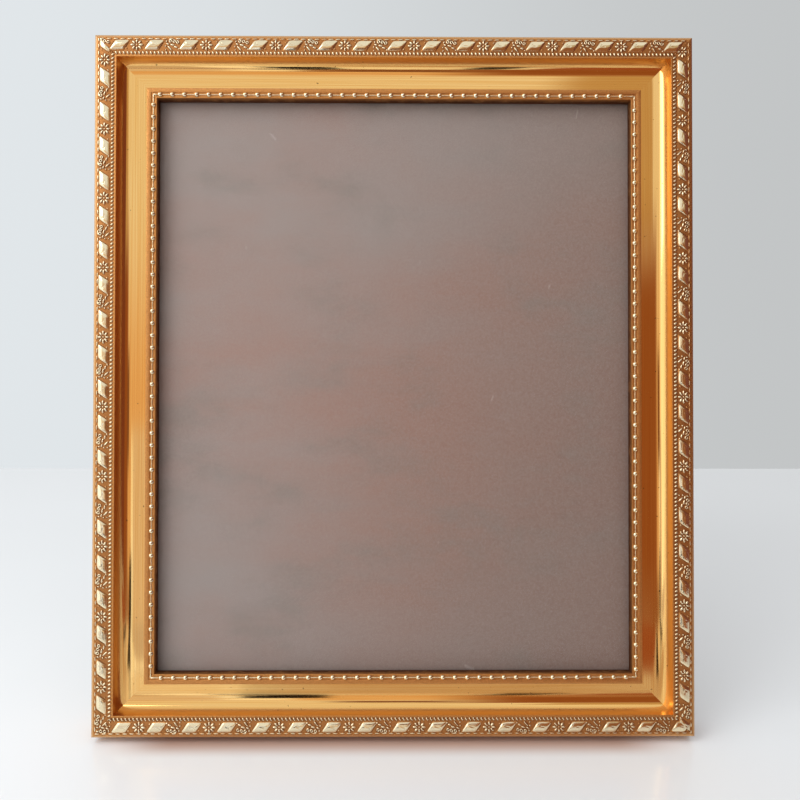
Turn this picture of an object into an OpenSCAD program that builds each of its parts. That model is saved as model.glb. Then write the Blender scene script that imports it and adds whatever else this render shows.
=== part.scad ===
// Gilt picture frame with an easel strut. Millimetres, +Z up, the picture faces -Y.
// It stands on the rear bottom edge of its moulding and on the foot of the strut.
// The origin is on the table, under the middle of the part's outline.
// Most pieces are drawn upright, with the frame's back in the plane y = 0, and then leaned back.

/* [Picture] */
// Width of the picture, the glass and the boards behind it
picture_w = 254; // [225:1:330]
// Height of the picture, the glass and the boards behind it
picture_h = 304.8; // [290:0.1:420]
// Lap of the moulding over each edge of the picture
sight_lap = 5; // [3:0.5:7]
// Gap between the edge of the glass and the wall of the rabbet
rabbet_gap = 0.75; // [0.3:0.05:1.2]

/* [Moulding] */
// Width of the moulding's face, from its outer edge to the sight edge
face_w = 29.5; // [27:0.5:45]
// Depth from the front crest back to the glass
glass_setback = 14; // [12:0.5:20]
// Width of the plain lip at the outer edge
outer_lip_w = 1.3; // [0.8:0.1:2]
// Width of the crest that carries the leaves and flowers
ornament_w = 6.8; // [4.5:0.1:8]
// Width of the fine rope moulding inside the crest
rope_w = 2.2; // [1.6:0.1:3]
// Width of the plain lip above the scoop
inner_lip_w = 0.8; // [0.5:0.1:2]
// Width of the flat step inside the scoop
step_w = 2.3; // [1.5:0.1:5]
// Width of the channel that carries the string of pearls
pearl_w = 2.2; // [1.6:0.1:3]
// Width of the lip at the sight edge
sight_lip_w = 0.7; // [0.5:0.1:1.5]
// Drop from the crest to the rounded outer corner
edge_drop = 1.8; // [1.2:0.1:3]
// Drop from the crest to the plain lips beside it
lip_drop = 1; // [0.5:0.1:1.1]
// Height of the rope moulding above its bed
rope_rise = 0.5; // [0.2:0.1:0.6]
// Drop from the crest to the bottom of the scoop
scoop_drop = 8.6; // [7:0.1:10]
// Exponent of the scoop's curve across its width, where two is an ellipse and more is a tighter cove
scoop_across = 4.8; // [2:0.1:6]
// Exponent of the scoop's curve in depth
scoop_down = 2; // [1.5:0.1:2.5]
// Height of the flat step above the bottom of the scoop
step_rise = 0.8; // [0.3:0.1:1.2]
// Height of the pearls' channel floor below the flat step
channel_depth = 0.4; // [0.2:0.1:0.6]

/* [Package] */
// Thickness of the glass
glass_t = 2; // [1.5:0.1:3]
// Thickness of the card that the picture is printed on
card_t = 0.5; // [0.2:0.1:1]
// Thickness of the filler card
filler_t = 3; // [1:0.1:5]
// Thickness of the backing board
board_t = 3; // [2.5:0.1:5]

/* [Corner nails] */
// Length of each wing of a corner nail
v_nail_wing = 5; // [3:0.1:6]
// Thickness of the corner nail's steel
v_nail_t = 0.6; // [0.4:0.1:1]
// Depth that the nails are driven in from the back
v_nail_depth = 7; // [5:0.5:8]
// Distance of the outer nail from the edges of the frame
v_nail_outer = 5; // [4:0.1:6]
// Step from the outer nail to the inner one
v_nail_step = 8; // [7:0.1:9]

/* [Turn buttons] */
// Length of a turn button
button_l = 26; // [23:0.5:30]
// Width of a turn button
button_w = 9; // [7:0.5:11]
// Thickness of a turn button
button_t = 1; // [0.8:0.1:1.5]
// Distance of the turn button's screw from the outer edge of the frame
button_inset = 14; // [12:0.5:16]
// Distance of the top and bottom turn buttons from the middle of the frame
button_spread = 70; // [55:1:85]
// Gap between a turn button and the frame's back
button_gap = 0.2; // [0.1:0.05:0.3]
// Radius of the turn button screw's shank
screw_r = 1.5; // [1:0.1:1.8]
// Length of the screw inside the moulding
screw_l = 8; // [6:0.5:8.5]
// Radius of the screw's head
screw_head_r = 3; // [2.6:0.1:3.5]
// Height of the screw's head
screw_head_h = 1.3; // [1:0.1:2]

/* [Easel strut] */
// Angle that the frame leans back from upright
lean_deg = 10; // [6:0.5:15]
// Angle between the opened strut and the frame's back
strut_open_deg = 19; // [16:0.5:24]
// Distance between the end of the upper hanger's strap and the top of the hinge
hinge_clearance = 22; // [10:1:40]
// Width of the strut at the hinge
strut_top_w = 46; // [44:1:56]
// Width of the strut at its foot
strut_foot_w = 76; // [56:1:90]
// Thickness of the strut's board
strut_t = 3; // [2:0.1:5]
// Width of the hinge
hinge_w = 44; // [36:1:44]
// Length of each hinge leaf
leaf_l = 24; // [20:0.5:30]
// Thickness of the hinge leaves
leaf_t = 0.8; // [0.6:0.1:1]
// Outer radius of the hinge knuckles
knuckle_r = 2; // [1.8:0.1:2.5]
// Radius of the hinge pin
pin_r = 1; // [0.6:0.1:1.2]
// Radial running clearance of the hinge pin
pin_fit = 0.05; // [0.02:0.01:0.1]
// Width of the strut's knuckle, between the two fixed ones
mid_knuckle_w = 15.4; // [10:0.2:18]

/* [Stay ribbon] */
// Width of the stay ribbon
ribbon_w = 10; // [10:0.5:14]
// Thickness of the stay ribbon
ribbon_t = 0.4; // [0.2:0.1:0.5]
// Distance of the ribbon's ends below the hinge
ribbon_reach = 150; // [100:1:170]
// Length of the tab that holds each end of the ribbon
ribbon_tab = 12; // [10:0.5:16]

/* [Rivets] */
// Radius of the rivets' shanks
rivet_r = 1.4; // [1:0.1:1.6]
// Radius of the rivets' heads
rivet_head_r = 2.5; // [2.2:0.1:3]
// Height of the rivets' heads
rivet_head_h = 0.5; // [0.3:0.05:0.5]

/* [Hangers] */
// Distance of the hanger's ring from the wall of the rabbet
hanger_drop = 36; // [34:0.5:38]
// Width of the hanger's strap
strap_w = 9; // [7:0.5:9]
// Length of the strap from the ring's axis to its end
strap_l = 16; // [14.5:0.5:18]
// Thickness of the strap's sheet steel, which is folded double
strap_t = 0.5; // [0.3:0.1:0.6]
// Radius of the ring's wire
wire_r = 0.9; // [0.7:0.05:1]
// Half the width of the ring, to the middle of its wire
ring_half_w = 6.4; // [6:0.1:8]
// Length of the ring's straight legs
ring_leg = 4; // [3:0.5:6]
// Radial play of the ring in the strap's loop
ring_play = 0.1; // [0.05:0.01:0.1]

/* [Hidden] */
$fn = 48;

// Overrun of a cutting shape past the face that it cuts
cut = 1;
// Radial clearance of the screws and rivets in their holes
hole_fit = 0.05;
// Gap between pieces that pass each other in the hinge
hinge_gap = 0.3;
// Radial clearance of the turn buttons on their screws
button_fit = 0.07;

// Colours
gilt = [0.80, 0.58, 0.27];
brass = [0.78, 0.62, 0.30];
steel = [0.70, 0.70, 0.68];
flock = [0.12, 0.11, 0.11];
fibreboard = [0.45, 0.33, 0.22];

// Overall sizes of the frame
sight_w = picture_w - 2 * sight_lap;
sight_h = picture_h - 2 * sight_lap;
frame_w = sight_w + 2 * face_w;
frame_h = sight_h + 2 * face_w;
rail_depth = glass_setback + glass_t + card_t + filler_t + board_t;
// Distance of the rabbet's wall from the outer edge
rabbet_wall = face_w - sight_lap - rabbet_gap;

// Places across the moulding, measured inwards from its outer edge
ornament_at = outer_lip_w;
rope_at = ornament_at + ornament_w;
inner_lip_at = rope_at + rope_w;
scoop_at = inner_lip_at + inner_lip_w;
step_at = face_w - sight_lip_w - pearl_w - step_w;
pearl_at = step_at + step_w;
sight_lip_at = pearl_at + pearl_w;
step_drop = scoop_drop - step_rise;
channel_drop = step_drop + channel_depth;

// Counts of flats along the curves of the moulding
crest_steps = 12;
rope_steps = 6;
scoop_steps = 18;

// The front of the moulding as [distance from the outer edge, drop below the crest]
crest_curve = [for (i = [0 : crest_steps])
  [ornament_at + ornament_w * i / crest_steps, lip_drop * (1 - sin(180 * i / crest_steps))]];
rope_curve = [for (i = [1 : rope_steps - 1])
  [rope_at + rope_w * i / rope_steps, lip_drop - rope_rise * sin(180 * i / rope_steps)]];
scoop_curve = [for (i = [0 : scoop_steps])
  [scoop_at + (step_at - scoop_at) * (1 - pow(cos(90 * i / scoop_steps), 2 / scoop_across)),
   lip_drop + (scoop_drop - lip_drop) * pow(sin(90 * i / scoop_steps), 2 / scoop_down)]];
front_curve = concat(
  [[0, edge_drop]],
  crest_curve,
  rope_curve,
  [[inner_lip_at, lip_drop]],
  scoop_curve,
  [[step_at, step_drop], [pearl_at, step_drop], [pearl_at, channel_drop],
   [sight_lip_at, channel_drop], [sight_lip_at, step_drop], [face_w, step_drop]]
);
back_outline = [[face_w, glass_setback], [rabbet_wall, glass_setback],
                [rabbet_wall, rail_depth], [0, rail_depth]];
rail_outline = [for (p = concat(front_curve, back_outline)) [p[1] - rail_depth, p[0]]];

// Hinge of the strut: its axis lies this far behind the frame's back
hinge_off = knuckle_r + hinge_gap;
// The folded strut's inner face, behind the frame's back
strut_gap = 2 * leaf_t;
knuckle_clear = knuckle_r + hinge_gap;
// The hinge's rivets join leaf and strut, so their place follows both edges, the leaf's more closely
leaf_weight = 0.75;
rivet_edge = 1.85;
rivet_x = (leaf_weight * hinge_w + (1 - leaf_weight) * strut_top_w) / 2 - rivet_head_r - rivet_edge;
rivet_y = leaf_l / 2 + leaf_t;

// Hanger loop: its axis lies this far behind the board
loop_r = wire_r + ring_play + strap_t;
hanger_x = -(frame_w / 2 - rabbet_wall - hanger_drop);
hanger_z = frame_h - rabbet_wall - hanger_drop;
strap_rivet_y = strap_l - rivet_head_r - strap_t - loop_r;
// Height of the hinge's axis on the frame's back
hinge_height = hanger_z - strap_l - hinge_clearance - leaf_l;

// Where the opened strut meets the table
tilt = strut_open_deg - lean_deg;
axis_y = hinge_off * cos(lean_deg) + hinge_height * sin(lean_deg);
axis_z = hinge_height * cos(lean_deg) - hinge_off * sin(lean_deg);
strut_outer = strut_gap + strut_t - hinge_off;
strut_run = (axis_z + strut_outer * sin(tilt)) / cos(tilt);
foot_y = axis_y + strut_outer * cos(tilt) + strut_run * sin(tilt);
front_y = min([for (p = rail_outline) p[0] * cos(lean_deg) + p[1] * sin(lean_deg)]);
stance_shift = -(front_y + foot_y) / 2;

// Turn buttons as [x, z, angle from pointing up], seen from behind
button_spots = [
  [-button_spread, frame_h - button_inset, 180],
  [button_spread, frame_h - button_inset, 180],
  [-button_spread, button_inset, 0],
  [button_spread, button_inset, 0],
  [-(frame_w / 2 - button_inset), frame_h / 2, 90],
  [frame_w / 2 - button_inset, frame_h / 2, -90]
];
screw_top = button_gap + button_t + button_gap;

// Leans the upright frame back and puts the middle of the outline over the origin
module leaned() {
  translate([0, stance_shift, 0]) rotate([-lean_deg, 0, 0]) children();
}

// Puts a shape on the frame's back: its +Y points up the frame and its +Z out of the back
module on_back(x, z, turn = 0) {
  translate([x, 0, z]) rotate([90, 0, 180]) rotate([0, 0, turn]) children();
}

// The same, on the strut as it would lie when folded, then swung open about the hinge
module on_strut() {
  translate([0, hinge_off, hinge_height]) rotate([strut_open_deg, 0, 0])
    translate([0, -hinge_off, 0]) rotate([90, 0, 180]) children();
}

// A shape that repeats at each end of a row, left and right
module both_sides(x) {
  for (side = [-1, 1]) translate([side * x, 0, 0]) children();
}

// One wing pair of a corner nail in the lower left corner, at a distance from both edges
module v_nail(place) {
  translate([place, -v_nail_depth, place]) {
    cube([v_nail_wing, v_nail_depth, v_nail_t]);
    cube([v_nail_t, v_nail_depth, v_nail_wing]);
  }
}

// Both nails of every corner
module all_v_nails() {
  for (side = [0, 1], end = [0, 1])
    translate([0, 0, frame_h / 2]) mirror([side, 0, 0]) mirror([0, 0, end])
      translate([-frame_w / 2, 0, -frame_h / 2]) {
        v_nail(v_nail_outer);
        v_nail(v_nail_outer + v_nail_step);
      }
}

// Pilot holes for the turn buttons' screws
module screw_holes() {
  for (spot = button_spots) on_back(spot[0], spot[1])
    translate([0, 0, -screw_l - hole_fit]) cylinder(r = screw_r + hole_fit, h = screw_l + hole_fit + cut);
}

// A moulding along X with its outer edge at z = 0, cut to a mitre at each end
module mitred_rail(length) {
  intersection() {
    rotate([90, 0, 90]) linear_extrude(length, center = true) polygon(rail_outline);
    translate([0, cut, 0]) rotate([90, 0, 0]) linear_extrude(rail_depth + 2 * cut)
      polygon([[-length / 2, 0], [length / 2, 0],
               [length / 2 - face_w - cut, face_w + cut], [-length / 2 + face_w + cut, face_w + cut]]);
  }
}

// A rail in its place, with its slots for the corner nails and its screw holes
module finished_rail(length, x, z, turn) {
  color(gilt) leaned() difference() {
    translate([x, 0, z]) rotate([0, turn, 0]) mitred_rail(length);
    all_v_nails();
    screw_holes();
  }
}

module top_rail() {
  finished_rail(frame_w, 0, frame_h, 180);
}

module bottom_rail() {
  finished_rail(frame_w, 0, 0, 0);
}

module left_rail() {
  finished_rail(frame_h, -frame_w / 2, frame_h / 2, 90);
}

module right_rail() {
  finished_rail(frame_h, frame_w / 2, frame_h / 2, -90);
}

module corner_v_nails() {
  color(steel) leaned() all_v_nails();
}

// A sheet of the picture's size whose front lies this far behind the glass's front
module sheet(behind, thickness) {
  translate([-picture_w / 2, behind + glass_setback - rail_depth, (frame_h - picture_h) / 2])
    cube([picture_w, thickness, picture_h]);
}

module glass_pane() {
  color([0.82, 0.88, 0.86, 0.35]) leaned() sheet(0, glass_t);
}

module picture_card() {
  color([0.58, 0.53, 0.51]) leaned() sheet(glass_t, card_t);
}

module filler_card() {
  color([0.72, 0.66, 0.55]) leaned() sheet(glass_t + card_t, filler_t);
}

// Places of the rivets that pass through the backing board
module at_board_rivets() {
  on_back(0, hinge_height) both_sides(rivet_x) translate([0, rivet_y, 0]) children();
  on_back(0, hinge_height) translate([0, -ribbon_reach + ribbon_tab / 2, 0]) children();
  on_back(0, hanger_z) translate([0, -strap_rivet_y, 0]) children();
  on_back(hanger_x, frame_h / 2, -90) translate([0, -strap_rivet_y, 0]) children();
}

module backing_board() {
  color(fibreboard) leaned() difference() {
    sheet(glass_t + card_t + filler_t, board_t);
    at_board_rivets() {
      translate([0, 0, -board_t - cut]) cylinder(r = rivet_r + hole_fit, h = board_t + 2 * cut);
      translate([0, 0, -board_t - cut])
        cylinder(r = rivet_head_r + hinge_gap, h = rivet_head_h + hole_fit + cut);
    }
  }
}

// A rivet through everything between two heights, with a head at each end
module rivet(low, high) {
  translate([0, 0, low - rivet_head_h]) cylinder(r = rivet_head_r, h = rivet_head_h);
  translate([0, 0, low]) cylinder(r = rivet_r, h = high - low);
  translate([0, 0, high]) cylinder(r = rivet_head_r, h = rivet_head_h / 2);
  translate([0, 0, high + rivet_head_h / 2])
    cylinder(r1 = rivet_head_r, r2 = rivet_head_r - rivet_head_h, h = rivet_head_h / 2);
}

// A rivet that holds something of a given thickness on the backing board
module board_rivet(grip) {
  rivet(-board_t + rivet_head_h + hole_fit, grip);
}

// A turn button that points up the frame from its screw, with a pressed rib along it
module turn_button() {
  reach = button_l - button_w;
  difference() {
    union() {
      cylinder(r = button_w / 2, h = button_t);
      translate([0, reach, 0]) cylinder(r = button_w / 2, h = button_t);
      translate([-button_w / 2, 0, 0]) cube([button_w, reach, button_t]);
      translate([-button_t / 2, screw_head_r + button_t, 0]) cube([button_t, reach - screw_head_r, button_t * 1.5]);
    }
    translate([0, 0, -cut]) cylinder(r = screw_r + button_fit, h = button_t + 2 * cut);
  }
}

module placed_button(index) {
  spot = button_spots[index];
  color(steel) leaned() on_back(spot[0], spot[1], spot[2])
    translate([0, 0, button_gap]) turn_button();
}

module turn_button_top_left() {
  placed_button(0);
}

module turn_button_top_right() {
  placed_button(1);
}

module turn_button_bottom_left() {
  placed_button(2);
}

module turn_button_bottom_right() {
  placed_button(3);
}

module turn_button_left() {
  placed_button(4);
}

module turn_button_right() {
  placed_button(5);
}

// A pan-head screw with a cross recess, its head just clear of the turn button
module screw() {
  rim_h = screw_head_h * 0.55;
  difference() {
    union() {
      translate([0, 0, -screw_l]) cylinder(r = screw_r, h = screw_l + screw_top);
      translate([0, 0, screw_top]) cylinder(r = screw_head_r, h = rim_h);
      translate([0, 0, screw_top + rim_h])
        cylinder(r1 = screw_head_r, r2 = screw_head_r * 0.6, h = screw_head_h - rim_h);
    }
    for (turn = [0, 90]) translate([0, 0, screw_top + screw_head_h]) rotate([0, 0, turn])
      cube([screw_head_r * 1.1, screw_head_r * 0.22, screw_head_h], center = true);
  }
}

module turn_button_screws() {
  color(steel) leaned() for (spot = button_spots) on_back(spot[0], spot[1]) screw();
}

// The knuckles are rolled about an axis that stands off the frame's back
module knuckle(length) {
  translate([0, 0, hinge_off]) rotate([0, 90, 0]) cylinder(r = knuckle_r, h = length, center = true);
}

module pin_bore() {
  translate([0, 0, hinge_off]) rotate([0, 90, 0])
    cylinder(r = pin_r + pin_fit, h = hinge_w + 2 * cut, center = true);
}

outer_knuckle_w = (hinge_w - mid_knuckle_w) / 2 - hinge_gap;

module strut_hinge_fixed_leaf() {
  color(brass) leaned() on_back(0, hinge_height) difference() {
    union() {
      translate([-hinge_w / 2, 0, 0]) cube([hinge_w, leaf_l, leaf_t]);
      both_sides(hinge_w / 2 - outer_knuckle_w / 2) knuckle(outer_knuckle_w);
    }
    translate([-mid_knuckle_w / 2 - hinge_gap, -cut, -cut])
      cube([mid_knuckle_w + 2 * hinge_gap, knuckle_clear + cut, leaf_t + 2 * cut]);
    pin_bore();
    both_sides(rivet_x) translate([0, rivet_y, -cut]) cylinder(r = rivet_r + hole_fit, h = leaf_t + 2 * cut);
  }
}

module strut_hinge_moving_leaf() {
  color(brass) leaned() on_strut() difference() {
    union() {
      translate([-hinge_w / 2, -leaf_l, strut_gap - leaf_t]) cube([hinge_w, leaf_l - knuckle_clear, leaf_t]);
      translate([-mid_knuckle_w / 2, -leaf_l, strut_gap - leaf_t]) cube([mid_knuckle_w, leaf_l, leaf_t]);
      knuckle(mid_knuckle_w);
    }
    pin_bore();
    both_sides(rivet_x) translate([0, -rivet_y, strut_gap - leaf_t - cut])
      cylinder(r = rivet_r + hole_fit, h = leaf_t + 2 * cut);
  }
}

// The pin has a peened head outside each outer knuckle
module strut_hinge_pin() {
  head_h = pin_r / 2;
  color(steel) leaned() on_back(0, hinge_height) translate([0, 0, hinge_off]) rotate([0, 90, 0]) {
    cylinder(r = pin_r, h = hinge_w + 2 * pin_fit, center = true);
    for (end = [0, 180]) rotate([end, 0, 0]) translate([0, 0, hinge_w / 2 + pin_fit])
      cylinder(r1 = pin_r * 1.5, r2 = pin_r * 1.1, h = head_h);
  }
}

module strut_hinge_board_rivets() {
  color(brass) leaned() on_back(0, hinge_height)
    both_sides(rivet_x) translate([0, rivet_y, 0]) board_rivet(leaf_t);
}

module strut_hinge_leg_rivets() {
  color(brass) leaned() on_strut() both_sides(rivet_x) translate([0, -rivet_y, 0])
    rivet(strut_gap - leaf_t, strut_gap + strut_t);
}

// The strut widens towards its foot, which is cut to lie flat on the table
module strut_leg() {
  long = strut_run + strut_t + cut;
  top_cut = strut_t;
  color(flock) intersection() {
    leaned() on_strut() difference() {
      translate([0, 0, strut_gap]) linear_extrude(strut_t)
        polygon([[-strut_top_w / 2 + top_cut, -knuckle_clear], [strut_top_w / 2 - top_cut, -knuckle_clear],
                 [strut_top_w / 2, -knuckle_clear - top_cut], [strut_foot_w / 2, -long],
                 [-strut_foot_w / 2, -long], [-strut_top_w / 2, -knuckle_clear - top_cut]]);
      both_sides(rivet_x) translate([0, -rivet_y, strut_gap - cut])
        cylinder(r = rivet_r + hole_fit, h = strut_t + 2 * cut);
      translate([0, -ribbon_reach - ribbon_tab / 2, strut_gap - cut])
        cylinder(r = rivet_r + hole_fit, h = strut_t + 2 * cut);
    }
    translate([-strut_foot_w, 0, 0]) cube([2 * strut_foot_w, 2 * foot_y, hinge_height]);
  }
}

// Middle of the ribbon at its bend on the strut, as [y, z] on the upright frame
bend_gap = strut_gap - ribbon_t / 2 - hinge_off;
strut_bend = [
  hinge_off + bend_gap * cos(strut_open_deg) + ribbon_reach * sin(strut_open_deg),
  hinge_height + bend_gap * sin(strut_open_deg) - ribbon_reach * cos(strut_open_deg)
];
board_bend = [ribbon_t / 2, hinge_height - ribbon_reach];
span = strut_bend - board_bend;

// The ribbon's tab lies up the board, its span crosses over, and the other tab lies down the strut
module stay_ribbon() {
  color([0.10, 0.10, 0.11]) leaned() difference() {
    union() {
      on_back(-ribbon_w / 2, hinge_height - ribbon_reach) translate([-ribbon_w, 0, 0])
        cube([ribbon_w, ribbon_tab, ribbon_t]);
      translate([0, board_bend[0], board_bend[1]]) rotate([atan2(span[1], span[0]), 0, 0])
        translate([-ribbon_w / 2, 0, -ribbon_t / 2]) cube([ribbon_w, norm(span), ribbon_t]);
      on_strut() translate([-ribbon_w / 2, -ribbon_reach - ribbon_tab, strut_gap - ribbon_t])
        cube([ribbon_w, ribbon_tab, ribbon_t]);
    }
    on_back(0, hinge_height) translate([0, -ribbon_reach + ribbon_tab / 2, -cut])
      cylinder(r = rivet_r + hole_fit, h = ribbon_t + 2 * cut);
    on_strut() translate([0, -ribbon_reach - ribbon_tab / 2, strut_gap - ribbon_t - cut])
      cylinder(r = rivet_r + hole_fit, h = ribbon_t + 2 * cut);
  }
}

module ribbon_board_rivet() {
  color(brass) leaned() on_back(0, hinge_height)
    translate([0, -ribbon_reach + ribbon_tab / 2, 0]) board_rivet(ribbon_t);
}

module ribbon_strut_rivet() {
  color(brass) leaned() on_strut() translate([0, -ribbon_reach - ribbon_tab / 2, 0])
    rivet(strut_gap - ribbon_t, strut_gap + strut_t);
}

// A hanger's strap: sheet folded round the ring's bar, hanging down from it
module hanger_strap() {
  difference() {
    union() {
      translate([0, 0, loop_r]) rotate([0, 90, 0]) cylinder(r = loop_r, h = strap_w, center = true);
      translate([-strap_w / 2, -strap_l + strap_w / 2, 0]) cube([strap_w, strap_l - strap_w / 2, 2 * strap_t]);
      translate([0, -strap_l + strap_w / 2, 0]) cylinder(r = strap_w / 2, h = 2 * strap_t);
    }
    translate([0, 0, loop_r]) rotate([0, 90, 0])
      cylinder(r = wire_r + ring_play, h = strap_w + 2 * cut, center = true);
    translate([0, -strap_rivet_y, -cut]) cylinder(r = rivet_r + hole_fit, h = 2 * strap_t + 2 * cut);
  }
}

module hanger_strap_portrait() {
  color(brass) leaned() on_back(0, hanger_z) hanger_strap();
}

module hanger_strap_landscape() {
  color(brass) leaned() on_back(hanger_x, frame_h / 2, -90) hanger_strap();
}

module hanger_rivets() {
  color(brass) leaned() {
    on_back(0, hanger_z) translate([0, -strap_rivet_y, 0]) board_rivet(2 * strap_t);
    on_back(hanger_x, frame_h / 2, -90) translate([0, -strap_rivet_y, 0]) board_rivet(2 * strap_t);
  }
}

// A D-shaped ring that hangs down from its bar, swung out by an angle from the board
module hanger_ring(out) {
  translate([0, 0, loop_r]) rotate([out, 0, 0]) {
    rotate([0, 90, 0]) cylinder(r = wire_r, h = 2 * ring_half_w, center = true);
    both_sides(ring_half_w) {
      sphere(r = wire_r);
      translate([0, -ring_leg, 0]) rotate([-90, 0, 0]) cylinder(r = wire_r, h = ring_leg);
    }
    translate([0, -ring_leg, 0]) rotate([0, 0, 180])
      rotate_extrude(angle = 180) translate([ring_half_w, 0, 0]) circle(r = wire_r);
  }
}

// The ring hangs plumb while the frame leans
module hanger_ring_portrait() {
  color(steel) leaned() on_back(0, hanger_z) hanger_ring(-lean_deg);
}

// The side ring swings about an axis that leans, so it comes to rest straight out
module hanger_ring_landscape() {
  color(steel) leaned() on_back(hanger_x, frame_h / 2, -90) hanger_ring(-90);
}

top_rail();
bottom_rail();
left_rail();
right_rail();
corner_v_nails();
glass_pane();
picture_card();
filler_card();
backing_board();
turn_button_top_left();
turn_button_top_right();
turn_button_bottom_left();
turn_button_bottom_right();
turn_button_left();
turn_button_right();
turn_button_screws();
strut_leg();
strut_hinge_fixed_leaf();
strut_hinge_moving_leaf();
strut_hinge_pin();
strut_hinge_board_rivets();
strut_hinge_leg_rivets();
stay_ribbon();
ribbon_board_rivet();
ribbon_strut_rivet();
hanger_strap_portrait();
hanger_strap_landscape();
hanger_rivets();
hanger_ring_portrait();
hanger_ring_landscape();
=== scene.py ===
import bpy
import numpy as np
from mathutils import Matrix, Vector


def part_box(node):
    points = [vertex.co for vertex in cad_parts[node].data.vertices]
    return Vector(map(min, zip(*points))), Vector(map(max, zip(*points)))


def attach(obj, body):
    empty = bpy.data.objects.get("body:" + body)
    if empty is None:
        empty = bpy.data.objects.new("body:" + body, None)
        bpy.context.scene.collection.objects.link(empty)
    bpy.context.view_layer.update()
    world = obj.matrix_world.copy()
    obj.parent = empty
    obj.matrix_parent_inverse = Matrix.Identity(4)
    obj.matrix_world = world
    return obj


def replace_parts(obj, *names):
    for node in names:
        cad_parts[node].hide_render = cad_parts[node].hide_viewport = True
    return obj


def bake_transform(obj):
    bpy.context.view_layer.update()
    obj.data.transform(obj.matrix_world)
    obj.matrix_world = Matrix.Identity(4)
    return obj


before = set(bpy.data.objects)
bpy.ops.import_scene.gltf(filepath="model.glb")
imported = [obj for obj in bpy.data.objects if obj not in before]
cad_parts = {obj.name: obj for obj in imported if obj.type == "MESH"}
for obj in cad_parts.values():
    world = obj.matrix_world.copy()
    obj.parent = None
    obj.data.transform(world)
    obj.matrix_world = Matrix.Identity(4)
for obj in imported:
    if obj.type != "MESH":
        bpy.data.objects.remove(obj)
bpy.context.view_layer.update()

mm = 0.001

# the frame stands leaned back on its rear bottom edge; the pieces are worked out upright, in millimetres
stand = {"width": 303.0, "height": 353.8, "depth": 22.5, "lean": 10.0}
leanCos, leanSin = np.cos(np.radians(stand["lean"])), np.sin(np.radians(stand["lean"]))
stand["shift"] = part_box("top_rail")[1].y / mm - stand["height"] * leanSin


# camera, in millimetres and degrees
cameraPlace = {"spot": (-0.25, -419.4, 235.2), "down": 9.262, "right": 0.461, "roll": 0.142, "lens": 36.0}


def aimCamera(place):
    down, right, roll = np.radians([place["down"], place["right"], place["roll"]])
    forward = Vector((np.sin(right) * np.cos(down), np.cos(right) * np.cos(down), -np.sin(down)))
    side = Vector((np.cos(right), -np.sin(right), 0))
    top = side.cross(forward)
    rolledSide = side * np.cos(roll) + top * np.sin(roll)
    rolledTop = top * np.cos(roll) - side * np.sin(roll)
    turn = Matrix((rolledSide, rolledTop, -forward)).transposed().to_4x4()
    data = bpy.data.cameras.new("frontCamera")
    data.lens, data.sensor_width = place["lens"], 36.0
    data.clip_start, data.clip_end = 0.01, 30
    camera = bpy.data.objects.new("frontCamera", data)
    bpy.context.scene.collection.objects.link(camera)
    camera.matrix_world = Matrix.Translation(Vector(place["spot"]) * mm) @ turn
    bpy.context.scene.camera = camera


aimCamera(cameraPlace)
print("camera placed")


# short helpers for the materials
def addNode(tree, kind, settings=None, **inputs):
    node = tree.nodes.new("ShaderNode" + kind)
    for key, value in (settings or {}).items():
        setattr(node, key, value)
    for key, value in inputs.items():
        numbered = key[0] == "i" and key[1:].isdigit()  # i0, i1 ... are sockets by number, others by name
        socket = node.inputs[int(key[1:]) if numbered else key.replace("_", " ")]
        if isinstance(value, bpy.types.NodeSocket):
            tree.links.new(value, socket)
        else:
            socket.default_value = value
    return node


def newMaterial(name):
    material = bpy.data.materials.new(name)
    material.use_nodes = True
    tree = material.node_tree
    tree.nodes.clear()
    output = tree.nodes.new("ShaderNodeOutputMaterial")
    shader = tree.nodes.new("ShaderNodeBsdfPrincipled")
    tree.links.new(shader.outputs["BSDF"], output.inputs["Surface"])
    return material, tree, shader


def newSurface(name, surface, *values):  # a material made of the shader node that surface(tree, ...) returns
    material, tree, shader = newMaterial(name)
    tree.nodes.remove(shader)
    output = next(node for node in tree.nodes if node.type == "OUTPUT_MATERIAL")
    tree.links.new(surface(tree, *values).outputs[0], output.inputs["Surface"])
    return material


def colour(r, g, b):
    return (r, g, b, 1.0)


def shaded(tint, share):  # the same tint, darker by share
    return colour(*[share * c for c in tint])


def noise(tree, vector, scale, detail=2.0, rough=0.5):
    return addNode(tree, "TexNoise", Vector=vector, Scale=scale, Detail=detail, Roughness=rough).outputs["Fac"]


def spread(tree, value, low, high, toLow=0.0, toHigh=1.0):  # a smooth step from toLow to toHigh
    smooth = {"interpolation_type": "SMOOTHSTEP"}
    node = addNode(tree, "MapRange", smooth, Value=value, From_Min=low, From_Max=high)
    node.inputs["To Min"].default_value = toLow
    node.inputs["To Max"].default_value = toHigh
    return node.outputs["Result"]


def blendColours(tree, share, first, second):
    return addNode(tree, "Mix", {"data_type": "RGBA"}, i0=share, i6=first, i7=second).outputs[2]


def stretched(tree, vector, scale):
    return addNode(tree, "Mapping", Vector=vector, Scale=scale).outputs["Vector"]


def maths(tree, how, a, b=0.0):
    return addNode(tree, "Math", {"operation": how}, i0=a, i1=b).outputs[0]


def axes(tree, vector, names="XYZ"):  # single numbers of a vector
    parts = addNode(tree, "SeparateXYZ", Vector=vector)
    return [parts.outputs[name] for name in names]


def pointValue(tree, name):  # a value stored on the points of the mesh
    return addNode(tree, "Attribute", {"attribute_name": name}).outputs["Fac"]


def objectPlace(tree):
    return tree.nodes.new("ShaderNodeTexCoord").outputs["Object"]


def railPlace(tree):  # metres along and across a rail, or along and across the ribbon
    return addNode(tree, "UVMap", {"uv_map": "alongRail"}).outputs["UV"]


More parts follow.
